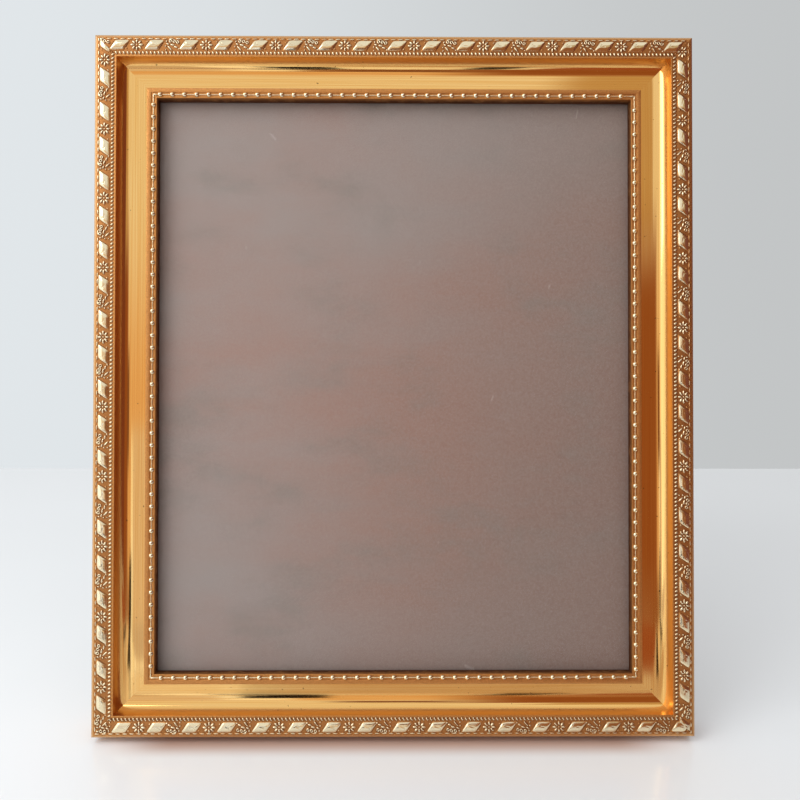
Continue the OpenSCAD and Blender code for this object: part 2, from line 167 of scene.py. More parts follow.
def bumped(tree, shader, height, strength, distance):
    bump = addNode(tree, "Bump", Height=height, Strength=strength, Distance=distance)
    tree.links.new(bump.outputs["Normal"], shader.inputs["Normal"])


# smooth gold leaf of the hollow: near mirror, drawn streaks along the rail, faint dark specks, painted shade on
# its steep wall
foil = {"bright": (0.94, 0.61, 0.235), "deep": (0.86, 0.47, 0.13), "speck": (0.10, 0.045, 0.015),
        "rough": (0.07, 0.13), "steepRough": 0.24, "steepShadeTint": (0.72, 0.385, 0.12)}


def makeFoil():
    material, tree, shader = newMaterial("burnished_gold_foil")
    along = railPlace(tree)
    streaks = noise(tree, stretched(tree, along, (9, 1500, 1)), 1.0, 3.0, 0.6)
    cloud = noise(tree, stretched(tree, along, (25, 90, 1)), 1.0, 2.0)
    specks = spread(tree, noise(tree, objectPlace(tree), 620.0, 1.0), 0.755, 0.80)
    tint = blendColours(tree, spread(tree, streaks, 0.3, 0.75), colour(*foil["bright"]), colour(*foil["deep"]))
    tint = blendColours(tree, maths(tree, "MULTIPLY", cloud, 0.35), tint, colour(*foil["deep"]))
    steep = pointValue(tree, "steep")
    # painted shade: the steep wall of the hollow is tinted darker and deeper orange
    tint = blendColours(tree, steep, tint, colour(*foil["steepShadeTint"]))
    tint = blendColours(tree, maths(tree, "MULTIPLY", specks, 0.7), tint, colour(*foil["speck"]))
    tree.links.new(tint, shader.inputs["Base Color"])
    dull = maths(tree, "MULTIPLY", steep, foil["steepRough"])
    rough = maths(tree, "ADD", spread(tree, streaks, 0.25, 0.8, *foil["rough"]), dull)
    tree.links.new(rough, shader.inputs["Roughness"])
    shader.inputs["Metallic"].default_value = 1.0
    bumped(tree, shader, streaks, 0.05, 0.0001)
    return material


# satin copper-gold ground with pale burnished tops where the relief stands up, and painted shade in its recesses
# and on the sight wall
gilt = {"ground": (0.66, 0.31, 0.098), "hollow": (0.46, 0.20, 0.066), "top": (0.88, 0.77, 0.52),
        "paintedShade": (0.13, 0.05, 0.022), "lip": (0.73, 0.50, 0.27), "groundRough": 0.50, "topRough": 0.12}


def makeGilt():
    material, tree, shader = newMaterial("satin_gilt_with_bright_tops")
    raised = pointValue(tree, "raised")
    grain = noise(tree, objectPlace(tree), 1500.0, 3.0, 0.6)
    wear = noise(tree, objectPlace(tree), 160.0, 3.0, 0.6)
    grainy = spread(tree, grain, 0.3, 0.75)
    ground = blendColours(tree, grainy, colour(*gilt["ground"]), shaded(gilt["ground"], 0.8))
    # painted shade: the flat ground between the motifs is darkened towards the hollow colour
    ground = blendColours(tree, spread(tree, raised, -0.35, 0.0, 1.0, 0.0), ground, colour(*gilt["hollow"]))
    ground = blendColours(tree, pointValue(tree, "lip"), ground, colour(*gilt["lip"]))
    worn = maths(tree, "ADD", raised, spread(tree, wear, 0.3, 0.7, -0.14, 0.10))
    share = spread(tree, worn, 0.30, 0.62)
    tops = blendColours(tree, spread(tree, wear, 0.45, 0.8), colour(*gilt["top"]), shaded(gilt["top"], 0.86))
    # painted shade: darkens the gilt at the foot of each motif and on the sight wall towards the glass
    paintedShade = maths(tree, "MULTIPLY", pointValue(tree, "recessShade"), spread(tree, wear, 0.25, 0.6, 0.55, 0.95))
    tint = blendColours(tree, share, ground, tops)
    tree.links.new(blendColours(tree, paintedShade, tint, colour(*gilt["paintedShade"])), shader.inputs["Base Color"])
    rough = maths(tree, "ADD", spread(tree, share, 0.0, 1.0, gilt["groundRough"], gilt["topRough"]),
                  spread(tree, grain, 0.2, 0.8, -0.05, 0.07))
    tree.links.new(maths(tree, "ADD", rough, maths(tree, "MULTIPLY", paintedShade, 0.2)), shader.inputs["Roughness"])
    shader.inputs["Metallic"].default_value = 1.0
    bumped(tree, shader, grain, 0.12, 0.0001)
    return material


# bare wood of the moulding's back and rabbet
wood = {"pale": (0.56, 0.39, 0.235), "dark": (0.36, 0.215, 0.11), "pore": (0.16, 0.085, 0.04)}


def makeWood():
    material, tree, shader = newMaterial("bare_moulding_wood")
    along = railPlace(tree)
    rings = noise(tree, stretched(tree, along, (14, 420, 1)), 1.0, 4.0, 0.65)
    pores = noise(tree, stretched(tree, along, (120, 3200, 1)), 1.0, 2.0, 0.6)
    tint = blendColours(tree, spread(tree, rings, 0.32, 0.7), colour(*wood["pale"]), colour(*wood["dark"]))
    tint = blendColours(tree, spread(tree, pores, 0.6, 0.78, 0.0, 0.5), tint, colour(*wood["pore"]))
    tree.links.new(tint, shader.inputs["Base Color"])
    tree.links.new(spread(tree, pores, 0.3, 0.8, 0.62, 0.80), shader.inputs["Roughness"])
    bumped(tree, shader, pores, 0.25, 0.0002)
    return material


# thin clear sheet: straight through, with a hazy mirror that grows at a glancing angle
glass = {"tint": (0.965, 0.975, 0.97), "bend": 1.45, "haze": (0.30, 0.36), "mirror": 0.5}


def glassSurface(tree):
    cloud = noise(tree, stretched(tree, objectPlace(tree), (9, 9, 30)), 1.0, 3.0)
    haze = spread(tree, cloud, 0.35, 0.75, *glass["haze"])
    gloss = addNode(tree, "BsdfGlossy", Color=colour(1, 1, 1), Roughness=haze)
    clear = addNode(tree, "BsdfTransparent", Color=colour(*glass["tint"]))
    mirror = addNode(tree, "Fresnel", IOR=glass["bend"])
    inside = tree.nodes.new("ShaderNodeNewGeometry").outputs["Backfacing"]  # no mirror on the way out
    outside = maths(tree, "SUBTRACT", glass["mirror"], maths(tree, "MULTIPLY", inside, glass["mirror"]))
    share = maths(tree, "MULTIPLY", mirror.outputs[0], outside)
    return addNode(tree, "MixShader", i0=share, i1=clear.outputs[0], i2=gloss.outputs[0])


# mottled card: a pinkish brown cloud in the middle fades into warm grey with soft smudges; painted shade darkens
# it to the right and lower down
card = {"grey": (0.265, 0.236, 0.230), "pink": (0.300, 0.158, 0.127), "dark": (0.193, 0.113, 0.092),
        "smudge": (0.180, 0.150, 0.136), "fibre": (0.36, 0.31, 0.29), "scratch": (0.60, 0.55, 0.53),
        "cloudShift": (-0.17, 0.0, 0.12), "cloudAt": (0.0, 0.0, 0.162), "cloudSize": (0.135, 1.0, 0.133)}


def makeCard():
    material, tree, shader = newMaterial("mottled_card")
    place = objectPlace(tree)
    moved = addNode(tree, "Mapping", Vector=place, Scale=(1.0, 1.0, 1.6), Location=card["cloudShift"])
    clouds = noise(tree, moved.outputs["Vector"], 8.0, 3.0, 0.45)
    fromCloud = addNode(tree, "VectorMath", {"operation": "SUBTRACT"}, i0=place, i1=card["cloudAt"]).outputs[0]
    shrunk = stretched(tree, fromCloud, tuple(1 / size for size in card["cloudSize"]))
    away = addNode(tree, "VectorMath", {"operation": "LENGTH"}, i0=shrunk).outputs["Value"]
    greyness = maths(tree, "ADD", away, maths(tree, "MULTIPLY", clouds, 2.6))
    wisps = noise(tree, stretched(tree, place, (1.0, 1.0, 3.0)), 14.0, 5.0, 0.6)
    fibre = noise(tree, place, 900.0, 3.0, 0.6)
    x, z = axes(tree, place, "XZ")
    shadeRamp = maths(tree, "SUBTRACT", x, maths(tree, "MULTIPLY", z, 0.25))
    tint = blendColours(tree, spread(tree, greyness, 1.3, 3.2), colour(*card["pink"]), colour(*card["grey"]))
    wispy = maths(tree, "MULTIPLY", spread(tree, wisps, 0.4, 0.7), 0.35)
    tint = blendColours(tree, wispy, tint, colour(*card["grey"]))
    # painted shade: the card grows darker to the right and towards the bottom, as if lit from the left
    tint = blendColours(tree, spread(tree, shadeRamp, -0.14, 0.12, 0.0, 0.85), tint, colour(*card["dark"]))
    smudges = noise(tree, stretched(tree, place, (1.0, 1.0, 2.0)), 13.0, 5.0, 0.6)
    tint = blendColours(tree, spread(tree, smudges, 0.48, 0.72, 0.0, 0.6), tint, colour(*card["smudge"]))
    tint = blendColours(tree, spread(tree, fibre, 0.25, 0.8, 0.0, 0.28), tint, colour(*card["fibre"]))
    scratch = addNode(tree, "TexVoronoi", {"feature": "DISTANCE_TO_EDGE"},
                      Vector=stretched(tree, place, (24, 24, 7)), Scale=1.0, Randomness=1.0).outputs["Distance"]
    broken = spread(tree, noise(tree, place, 90.0, 1.0), 0.71, 0.76)
    line = maths(tree, "MULTIPLY", spread(tree, scratch, 0.0, 0.012, 1.0, 0.0), broken)
    tint = blendColours(tree, maths(tree, "MULTIPLY", line, 0.2), tint, colour(*card["scratch"]))
    tree.links.new(tint, shader.inputs["Base Color"])
    tree.links.new(spread(tree, fibre, 0.3, 0.75, 0.52, 0.68), shader.inputs["Roughness"])
    bumped(tree, shader, fibre, 0.08, 0.0001)
    return material


# pressed boards of the package: fibres, patches and specks in three tints
def makeBoard(name, pale, dark, speck, fine, streak, rough, depth):
    material, tree, shader = newMaterial(name)
    place = objectPlace(tree)
    fibres = noise(tree, stretched(tree, place, streak), fine, 4.0, 0.65)
    patches = noise(tree, place, 26.0, 3.0, 0.6)
    specks = spread(tree, noise(tree, place, fine * 1.7, 1.0), 0.62, 0.72)
    tint = blendColours(tree, spread(tree, fibres, 0.28, 0.72), colour(*pale), colour(*dark))
    tint = blendColours(tree, spread(tree, patches, 0.35, 0.75, 0.0, 0.4), tint, colour(*dark))
    tint = blendColours(tree, maths(tree, "MULTIPLY", specks, 0.45), tint, colour(*speck))
    tree.links.new(tint, shader.inputs["Base Color"])
    tree.links.new(spread(tree, fibres, 0.25, 0.8, *rough), shader.inputs["Roughness"])
    bumped(tree, shader, fibres, depth, 0.0003)
    return material


# grained dark covering of the easel strut: small rounded cells pressed into the board
strutBoard = {"pale": (0.040, 0.033, 0.030), "dark": (0.017, 0.014, 0.013), "worn": (0.085, 0.066, 0.052),
              "cells": 850.0}


def makeStrutBoard():
    material, tree, shader = newMaterial("grained_dark_board")
    place = objectPlace(tree)
    cells = addNode(tree, "TexVoronoi", {"feature": "SMOOTH_F1"}, Vector=place,
                    Scale=strutBoard["cells"]).outputs["Distance"]
    wear = noise(tree, place, 60.0, 4.0, 0.6)
    dents = spread(tree, cells, 0.15, 0.75)
    tint = blendColours(tree, dents, colour(*strutBoard["pale"]), colour(*strutBoard["dark"]))
    tint = blendColours(tree, spread(tree, wear, 0.55, 0.8, 0.0, 0.5), tint, colour(*strutBoard["worn"]))
    tree.links.new(tint, shader.inputs["Base Color"])
    tree.links.new(spread(tree, wear, 0.3, 0.75, 0.42, 0.62), shader.inputs["Roughness"])
    bumped(tree, shader, maths(tree, "SUBTRACT", 1.0, cells), 0.45, 0.0003)
    return material


# small metal parts: brushed lines and faint stains
def makeMetal(name, clean, stained, rough, brush):
    material, tree, shader = newMaterial(name)
    place = objectPlace(tree)
    lines = noise(tree, stretched(tree, place, brush), 1.0, 3.0, 0.6)
    stains = noise(tree, place, 380.0, 4.0, 0.6)
    tint = blendColours(tree, spread(tree, stains, 0.45, 0.85, 0.0, 0.6), colour(*clean), colour(*stained))
    tint = blendColours(tree, spread(tree, lines, 0.5, 0.85, 0.0, 0.35), tint, colour(*stained))
    tree.links.new(tint, shader.inputs["Base Color"])
    rough = maths(tree, "ADD", spread(tree, stains, 0.3, 0.75, *rough), spread(tree, lines, 0.3, 0.8, 0.0, 0.08))
    tree.links.new(rough, shader.inputs["Roughness"])
    shader.inputs["Metallic"].default_value = 1.0
    bumped(tree, shader, lines, 0.06, 0.0001)
    return material


# grosgrain: cross ribs with twisted threads, a little fuzz of colour; waves per metre times 2 pi
weaving = {"dark": (0.020, 0.017, 0.016), "pale": (0.062, 0.054, 0.050), "fuzz": (0.11, 0.098, 0.09),
           "ribs": 9800.0, "threads": 19000.0, "sheen": 0.35, "sheenRough": 0.4}


def makeRibbonCloth():
    material, tree, shader = newMaterial("woven_ribbon")
    cloth = railPlace(tree)
    x, y = axes(tree, cloth, "XY")
    ribs = maths(tree, "SINE", maths(tree, "MULTIPLY", x, weaving["ribs"]))
    threads = maths(tree, "SINE", maths(tree, "MULTIPLY", y, weaving["threads"]))
    weave = maths(tree, "MULTIPLY", maths(tree, "ADD", ribs, 1.0), maths(tree, "ADD", threads, 1.6))
    fuzz = noise(tree, stretched(tree, cloth, (2600, 1300, 1)), 1.0, 3.0, 0.6)
    tint = blendColours(tree, spread(tree, weave, 0.2, 3.6), colour(*weaving["dark"]), colour(*weaving["pale"]))
    tint = blendColours(tree, spread(tree, fuzz, 0.45, 0.8, 0.0, 0.4), tint, colour(*weaving["fuzz"]))
    tree.links.new(tint, shader.inputs["Base Color"])
    tree.links.new(spread(tree, fuzz, 0.3, 0.7, 0.72, 0.88), shader.inputs["Roughness"])
    shader.inputs["Sheen Weight"].default_value = weaving["sheen"]
    shader.inputs["Sheen Roughness"].default_value = weaving["sheenRough"]
    bumped(tree, shader, weave, 0.4, 0.0002)
    return material


finish = {
    "foil": makeFoil(), "gilt": makeGilt(), "wood": makeWood(), "card": makeCard(),
    "glass": newSurface("clear_glass", glassSurface),
    "greyBoard": makeBoard("grey_filler_board", (0.40, 0.385, 0.36), (0.29, 0.28, 0.265), (0.16, 0.15, 0.14),
                           520.0, (1, 1, 1), (0.80, 0.92), 0.2),
    "fibreBoard": makeBoard("brown_fibreboard", (0.300, 0.185, 0.105), (0.190, 0.108, 0.058),
                            (0.075, 0.043, 0.026), 430.0, (1, 1, 0.45), (0.50, 0.72), 0.35),
    "strutBoard": makeStrutBoard(),
    "brass": makeMetal("brassed_steel", (0.84, 0.64, 0.32), (0.55, 0.37, 0.16), (0.24, 0.40),
                       (300, 4200, 4200)),
    "steel": makeMetal("bright_zinc_steel", (0.74, 0.75, 0.76), (0.48, 0.49, 0.50), (0.22, 0.38),
                       (4200, 300, 300)),
    "ribbon": makeRibbonCloth(),
}

# the nodes of each finish; the rails and the ribbon get theirs with their lofted pieces
nodeFinish = {
    "glass": ["glass_pane"],
    "card": ["picture_card"],
    "greyBoard": ["filler_card"],
    "fibreBoard": ["backing_board"],
    "strutBoard": ["strut_leg"],
    "steel": ["corner_v_nails", "turn_button_screws", "turn_button_top_left", "turn_button_top_right",
              "turn_button_bottom_left", "turn_button_bottom_right", "turn_button_left", "turn_button_right",
              "strut_hinge_pin", "hanger_ring_portrait", "hanger_ring_landscape"],
    "brass": ["strut_hinge_fixed_leaf", "strut_hinge_moving_leaf", "strut_hinge_board_rivets",
              "strut_hinge_leg_rivets", "ribbon_board_rivet", "ribbon_strut_rivet", "hanger_strap_portrait",
              "hanger_strap_landscape", "hanger_rivets"],
}
for finishName, nodeNames in nodeFinish.items():
    for nodeName in nodeNames:
        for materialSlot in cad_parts[nodeName].material_slots:
            materialSlot.material = finish[finishName]
print("materials made:", len(finish))


# helpers for the lofted pieces
def leanBack(x, y, z):  # upright millimetres to the leaned frame's metres
    return np.stack([x, y * leanCos + z * leanSin + stand["shift"], z * leanCos - y * leanSin], -1) * mm


def gridQuads(columns, rows, closed):  # corner numbers of the quads of a columns x rows grid
    across = rows if closed else rows - 1
    i, j = np.meshgrid(np.arange(columns - 1), np.arange(across), indexing="ij")
    k = (j + 1) % rows
    return np.stack([i * rows + j, (i + 1) * rows + j, (i + 1) * rows + k, i * rows + k], -1).reshape(-1, 4)


def buildMesh(name, points, faces, uv=None, values=None, slots=None, materials=(), sharp=40.0, caps=()):
    # faces is an array of quads; caps are longer polygons; uv and each of the named values are one per point
    totals = np.concatenate([np.full(len(faces), 4), [len(cap) for cap in caps]]).astype(np.int32)
    starts = np.concatenate([[0], np.cumsum(totals)[:-1]]).astype(np.int32)
    corners = np.concatenate([faces.ravel(), *caps]).astype(np.int32)
    mesh = bpy.data.meshes.new(name)
    mesh.vertices.add(len(points))
    mesh.vertices.foreach_set("co", points.astype(np.float32).ravel())
    mesh.loops.add(len(corners))
    mesh.loops.foreach_set("vertex_index", corners)
    mesh.polygons.add(len(totals))
    mesh.polygons.foreach_set("loop_start", starts)
    mesh.polygons.foreach_set("loop_total", totals)
    mesh.polygons.foreach_set("use_smooth", np.ones(len(totals), bool))
    if slots is not None:  # one per quad; the caps take the last finish
        slots = np.concatenate([slots, np.full(len(caps), slots.max())])
        mesh.polygons.foreach_set("material_index", slots.astype(np.int32))
    if uv is not None:
        layer = mesh.uv_layers.new(name="alongRail")
        layer.data.foreach_set("uv", uv[corners].astype(np.float32).ravel())
    for key, value in (values or {}).items():
        mesh.attributes.new(key, "FLOAT", "POINT").data.foreach_set("value", value.astype(np.float32).ravel())
    mesh.update(calc_edges=True)
    mesh.validate()
    mesh.set_sharp_from_angle(angle=np.radians(sharp))
    for material in materials:
        mesh.materials.append(material)
    piece = bpy.data.objects.new(name, mesh)
    bpy.context.scene.collection.objects.link(piece)
    return piece


# each rail runs along u from its middle, with s measured inwards from the outer edge, turned by quarter turns
railPlan = {
    "bottom_rail": {"length": stand["width"], "turn": 0, "flowerAt": 12.8, "pearlAt": 0.0, "seed": 3},
    "right_rail": {"length": stand["height"], "turn": 1, "flowerAt": -6.0, "pearlAt": -1.6, "seed": 5},
    "top_rail": {"length": stand["width"], "turn": 2, "flowerAt": -10.0, "pearlAt": -4.4, "seed": 7},
    "left_rail": {"length": stand["height"], "turn": 3, "flowerAt": 11.3, "pearlAt": -0.3, "seed": 9},
}


def railToFrame(turn, u, s, d):  # a point of a rail, d millimetres behind the crest, in the leaned frame
    halfW, high = stand["width"] / 2, stand["height"]
    x = (u, halfW - s, -u, s - halfW)[turn]
    z = (s, high / 2 + u, high - s, high / 2 - u)[turn]
    return leanBack(x, d - stand["depth"] + 0 * u, z)


# ornament band: motifs in millimetres, s measured inwards from the outer edge
ornament = {
    "width": 10.6, "under": 2.6, "lipDrop": 1.0, "lipPale": 0.65, "fieldFrom": 1.3, "fieldTo": 8.1,
    "arch": 0.25, "sunk": 0.12, "period": 35.05, "widen": 1.11, "stepAcross": 0.205, "stepAlong": 0.215,
    "leafAt": (8.76, 26.29), "leafMiddle": 4.72, "leafHalf": (3.65, 2.5), "leafLean": 0.74, "leafRise": 0.78,
    "petals": 8, "petalRise": 0.52, "petalThick": 0.52, "flowerMiddle": 4.75, "flowerHalf": (3.35, 2.55),
    "ringRadius": 0.58, "ringThick": 0.28, "ropeEnd": 10.3,
    "dash": {"at": 1.95, "pitch": 3.505, "lean": 0, "half": (1.42, 0.34), "rise": 0.34, "power": 0.4},
    "rope": {"at": 9.2, "pitch": 1.957, "lean": 118, "half": (0.98, 0.50), "rise": 0.52, "power": 0.6},
}
outerEdge = {"s": [0.0, 0.0, 0.12, 0.45, 0.85], "d": [ornament["under"], 1.95, 1.72, 1.50, 1.27]}  # its rounding
sprig = {  # strokes as middle, angle and half lengths; rings by their middles
    "strokes": [((0.9, 6.25), -44, (1.55, 0.42)), ((-2.2, 5.75), -14, (1.05, 0.42)),
                ((-0.5, 4.75), -12, (1.25, 0.45)), ((1.9, 4.35), -20, (0.9, 0.40)),
                ((2.9, 6.9), 60, (0.42, 0.30)), ((3.0, 5.35), 30, (0.45, 0.34)),
                ((-3.6, 6.6), 20, (0.5, 0.32)), ((2.5, 3.15), 80, (0.62, 0.34))],
    "rings": [(-3.1, 3.55), (-1.35, 3.15), (0.55, 3.0)],
}


def oval(u, s, at, angle, halves, rise, power=0.6):
    # rise * (1 - r^2)^power, r the distance from the middle in ovals of those half lengths, turned by angle
    turn = np.radians(angle)
    du, ds = u - at[0], s - at[1]
    along = (du * np.cos(turn) + ds * np.sin(turn)) / halves[0]
    across = (ds * np.cos(turn) - du * np.sin(turn)) / halves[1]
    return rise * np.clip(1 - along**2 - across**2, 0, 1) ** power


def ringlet(u, s, at, rise):
    # a small ring: rise * (1 - ((r - radius) / thick)^2)^0.6, r the distance from its middle, never below zero
    r = np.hypot(u - at[0], s - at[1])
    return rise * np.clip(1 - ((r - ornament["ringRadius"]) / ornament["ringThick"]) ** 2, 0, 1) ** 0.6


def wrapped(u, at, period):  # distance from the nearest repeat of a motif
    return (u - at + period / 2) % period - period / 2


def leafHeight(u, s, at, variation):
    # polished pillow on a leaned outline: rise * (1 - p^4)^0.5 * (1 - q^2)^0.85, less a vein and a nick, each a
    # narrow bell exp(-(distance / width)^2)
    q = s - ornament["leafMiddle"]
    p = wrapped(u, at, ornament["period"]) - ornament["leafLean"] * q
    pn, qn = p / ornament["leafHalf"][0], q / ornament["leafHalf"][1]
    pillow = np.clip(1 - np.abs(pn) ** 4, 0, 1) ** 0.5 * np.clip(1 - qn**2, 0, 1) ** 0.85
    veinReach = np.clip(1 - ((p - 0.6 - variation) / 1.7) ** 2, 0, 1)
    vein = 0.10 * np.exp(-((q + 0.15 * p - 0.25) / 0.22) ** 2) * veinReach
    nick = 0.16 * np.exp(-(((p - 1.9 + variation) / 0.35) ** 2 + ((q + 0.6) / 0.3) ** 2))
    return ornament["leafRise"] * pillow - (vein + nick) * (pillow > 0.2)


def ornamentHeight(u, across, plan):
    # the highest of all motifs at each point: leaves, flowers, sprigs, dashes and rope, each repeated along u
    s = across / ornament["widen"]
    period = ornament["period"]
    rng = np.random.default_rng(plan["seed"])
    variation = rng.uniform(-0.5, 0.5, 64)[np.floor((u - plan["flowerAt"]) / period).astype(int) % 64]
    f = wrapped(u, plan["flowerAt"], period)
    height = np.zeros(u.shape)
    for at in ornament["leafAt"]:
        height = np.maximum(height, leafHeight(u, s, plan["flowerAt"] + at, variation))
    rise, middleS = ornament["petalRise"], ornament["flowerMiddle"]
    flowerU, flowerS = ornament["flowerHalf"]
    for angle in np.arange(ornament["petals"]) * 2 * np.pi / ornament["petals"]:
        reachU, reachS = np.cos(angle) * flowerU, np.sin(angle) * flowerS
        halves = (np.hypot(reachU, reachS) * 0.36, ornament["petalThick"])
        tilt = np.degrees(np.arctan2(reachS, reachU))
        height = np.maximum(height, oval(f, s, (reachU * 0.65, middleS + reachS * 0.65), tilt, halves, rise))
    height = np.maximum(height, oval(f, s, (0, middleS), 0, (0.42, 0.42), rise * 0.8))
    g = wrapped(u, plan["flowerAt"] + period / 2, period)  # sprig, half way between flowers
    for at, tilt, halves in sprig["strokes"]:
        height = np.maximum(height, oval(g, s, at, tilt, halves, rise * 0.92))
    for at in sprig["rings"]:
        height = np.maximum(height, ringlet(g, s, at, rise * 0.85))
    for at in (-5.3, 5.3):  # dots beside the flower
        height = np.maximum(height, oval(f, s, (at, middleS + 0.28 * at), 25, (0.55, 0.3), rise * 0.6))
    for bead, crosswise in ((ornament["dash"], s), (ornament["rope"], across)):
        along, at = wrapped(u, plan["flowerAt"], bead["pitch"]), (0, bead["at"])
        shape = oval(along, crosswise, at, bead["lean"], bead["half"], bead["rise"], bead["power"])
        height = np.maximum(height, shape)
    return height


def blurred(height):  # weights 1 4 6 4 1 both ways, twice
    weights = np.array([1, 4, 6, 4, 1]) / 16
    for axis in (0, 1, 0, 1):
        padded = np.pad(height, [(2, 2) if k == axis else (0, 0) for k in (0, 1)], mode="edge")
        places = np.arange(height.shape[axis])
        height = sum(w * np.take(padded, places + k, axis) for k, w in enumerate(weights))
    return height


def makeOrnament(rail, plan):
    # a height field over rail length x width, closed by its underside: d = ground(s) - height(u, s)
    # ground = lip + sunk * 4 t - arch * sin(pi t) over the field, and flat under the rope
    inner = np.arange(ornament["fieldFrom"], ornament["ropeEnd"], ornament["stepAcross"])
    t = np.clip((inner - ornament["fieldFrom"]) / (ornament["fieldTo"] - ornament["fieldFrom"]), 0, 1)
    ground = ornament["lipDrop"] + ornament["sunk"] * np.clip(4 * t, 0, 1) - ornament["arch"] * np.sin(np.pi * t)
    ground = np.where(inner > ornament["fieldTo"], ornament["lipDrop"] + ornament["sunk"], ground)
    sRow = np.concatenate([outerEdge["s"], inner, [ornament["ropeEnd"] + 0.05, ornament["width"]]])
    dRow = np.concatenate([outerEdge["d"], ground, [ornament["lipDrop"]] * 2])
    columns = int(plan["length"] / ornament["stepAlong"]) + 1
    along = np.linspace(-0.5, 0.5, columns)[:, None]
    s = np.broadcast_to(sRow, (columns, len(sRow)))
    u = along * (plan["length"] - 2 * s)
    height = np.where((s >= ornament["fieldFrom"]) & (s < ornament["ropeEnd"]), ornamentHeight(u, s, plan), 0)
    d = dRow - height
    # the flat ground between the motifs is set 0.25 lower, which the gilt paints darker as shade
    raised = height / ornament["petalRise"] - np.where((s > 1.6) & (s < 10.2) & (height < 0.03), 0.25, 0)
    recessShade = np.clip((blurred(height) - height) / 0.16, 0, 1)  # the foot of each motif, which the gilt paints darker as shade
    lip = np.where(s < ornament["fieldFrom"], ornament["lipPale"], 0)  # the outer lip is rubbed paler
    # the last row closes the underside
    s = np.concatenate([s, np.full((columns, 1), ornament["width"])], 1)
    d = np.concatenate([d, np.full((columns, 1), ornament["under"])], 1)
    values = {key: np.concatenate([value, np.zeros((columns, 1))], 1)
              for key, value in (("raised", raised), ("recessShade", recessShade), ("lip", lip))}
    u = along * (plan["length"] - 2 * s)
    rows = s.shape[1]
    points = railToFrame(plan["turn"], u, s, d).reshape(-1, 3)
    faces = gridQuads(columns, rows, True)[:, ::-1]
    uv = np.stack([u, s + d], -1).reshape(-1, 2) * mm
    caps = [np.arange(rows), (columns - 1) * rows + np.arange(rows)[::-1]]
    piece = buildMesh(rail + "_ornament", points, faces, uv, values, None, [finish["gilt"]], 75.0, caps)
    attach(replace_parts(piece, rail), "frame")


# moulding: hollow, step, sight lip, rabbet and back
moulding = {
    "innerLip": 11.1, "lipDrop": 1.0, "stepAt": 24.3, "hollowDrop": 8.6, "stepDrop": 7.8, "pearlFrom": 26.6,
    "pearlTo": 28.8, "channelDrop": 8.2, "faceWidth": 29.5, "glassSetback": 14.0, "rabbetWall": 23.75,
    "softEdge": 0.22, "backEdge": 0.3, "hollowRows": 56, "columns": 61, "across": 4.8, "down": 2.0,
    "steepFrom": 40, "steepOver": 20, "rabbetShade": 1.6, "sightShade": 0.35,
}


def mouldingOutline():
    # points (s, d) round the cross section with a finish for each; the hollow is a quarter of a squarish oval:
    # s = lip + width * (1 - cos(phi)^(2 / across)), d = drop + depth * sin(phi)^(2 / down)
    m = moulding
    e = m["softEdge"]
    phi = np.radians(np.linspace(3, 89.9, m["hollowRows"]))
    hollow = np.stack([m["innerLip"] + (m["stepAt"] - m["innerLip"]) * (1 - np.cos(phi) ** (2 / m["across"])),
                       m["lipDrop"] + (m["hollowDrop"] - m["lipDrop"]) * np.sin(phi) ** (2 / m["down"])], -1)
    hollow = np.concatenate([hollow, [[m["stepAt"], m["hollowDrop"]]]])
    lip = [[ornament["width"], m["lipDrop"]], [m["innerLip"] - e, m["lipDrop"]],
           [m["innerLip"] - 0.3 * e, m["lipDrop"] + 0.2 * e]]
    step = [[m["stepAt"], m["stepDrop"] + 1.2 * e], [m["stepAt"] + 0.3 * e, m["stepDrop"] + 0.3 * e],
            [m["stepAt"] + 1.2 * e, m["stepDrop"]],
            [m["pearlFrom"] - e, m["stepDrop"]], [m["pearlFrom"], m["stepDrop"] + 0.5 * e],
            [m["pearlFrom"] + 0.15, m["channelDrop"]], [m["pearlTo"] - 0.15, m["channelDrop"]],
            [m["pearlTo"] - 0.05, m["stepDrop"] + 0.5 * e], [m["pearlTo"] + 0.6 * e, m["stepDrop"]],
            [m["faceWidth"] - e, m["stepDrop"]], [m["faceWidth"] - 0.3 * e, m["stepDrop"] + 0.3 * e],
            [m["faceWidth"], m["stepDrop"] + e], [m["faceWidth"], m["glassSetback"]]]
    back = [[m["rabbetWall"], m["glassSetback"]], [m["rabbetWall"], stand["depth"]],
            [m["backEdge"], stand["depth"]], [0, stand["depth"] - m["backEdge"]],
            [0, ornament["under"]], [ornament["width"], ornament["under"]]]
    points = np.array(lip + hollow.tolist() + step + back)
    # foil 0 from the last lip point to the step, wood 2 on the rabbet and back, gilt 1 on all else
    slots = np.array([1] * (len(lip) - 1) + [0] * len(hollow) + [1] * len(step) + [2, 2, 2, 1, 1, 1, 1])
    return points, slots[:len(points)]


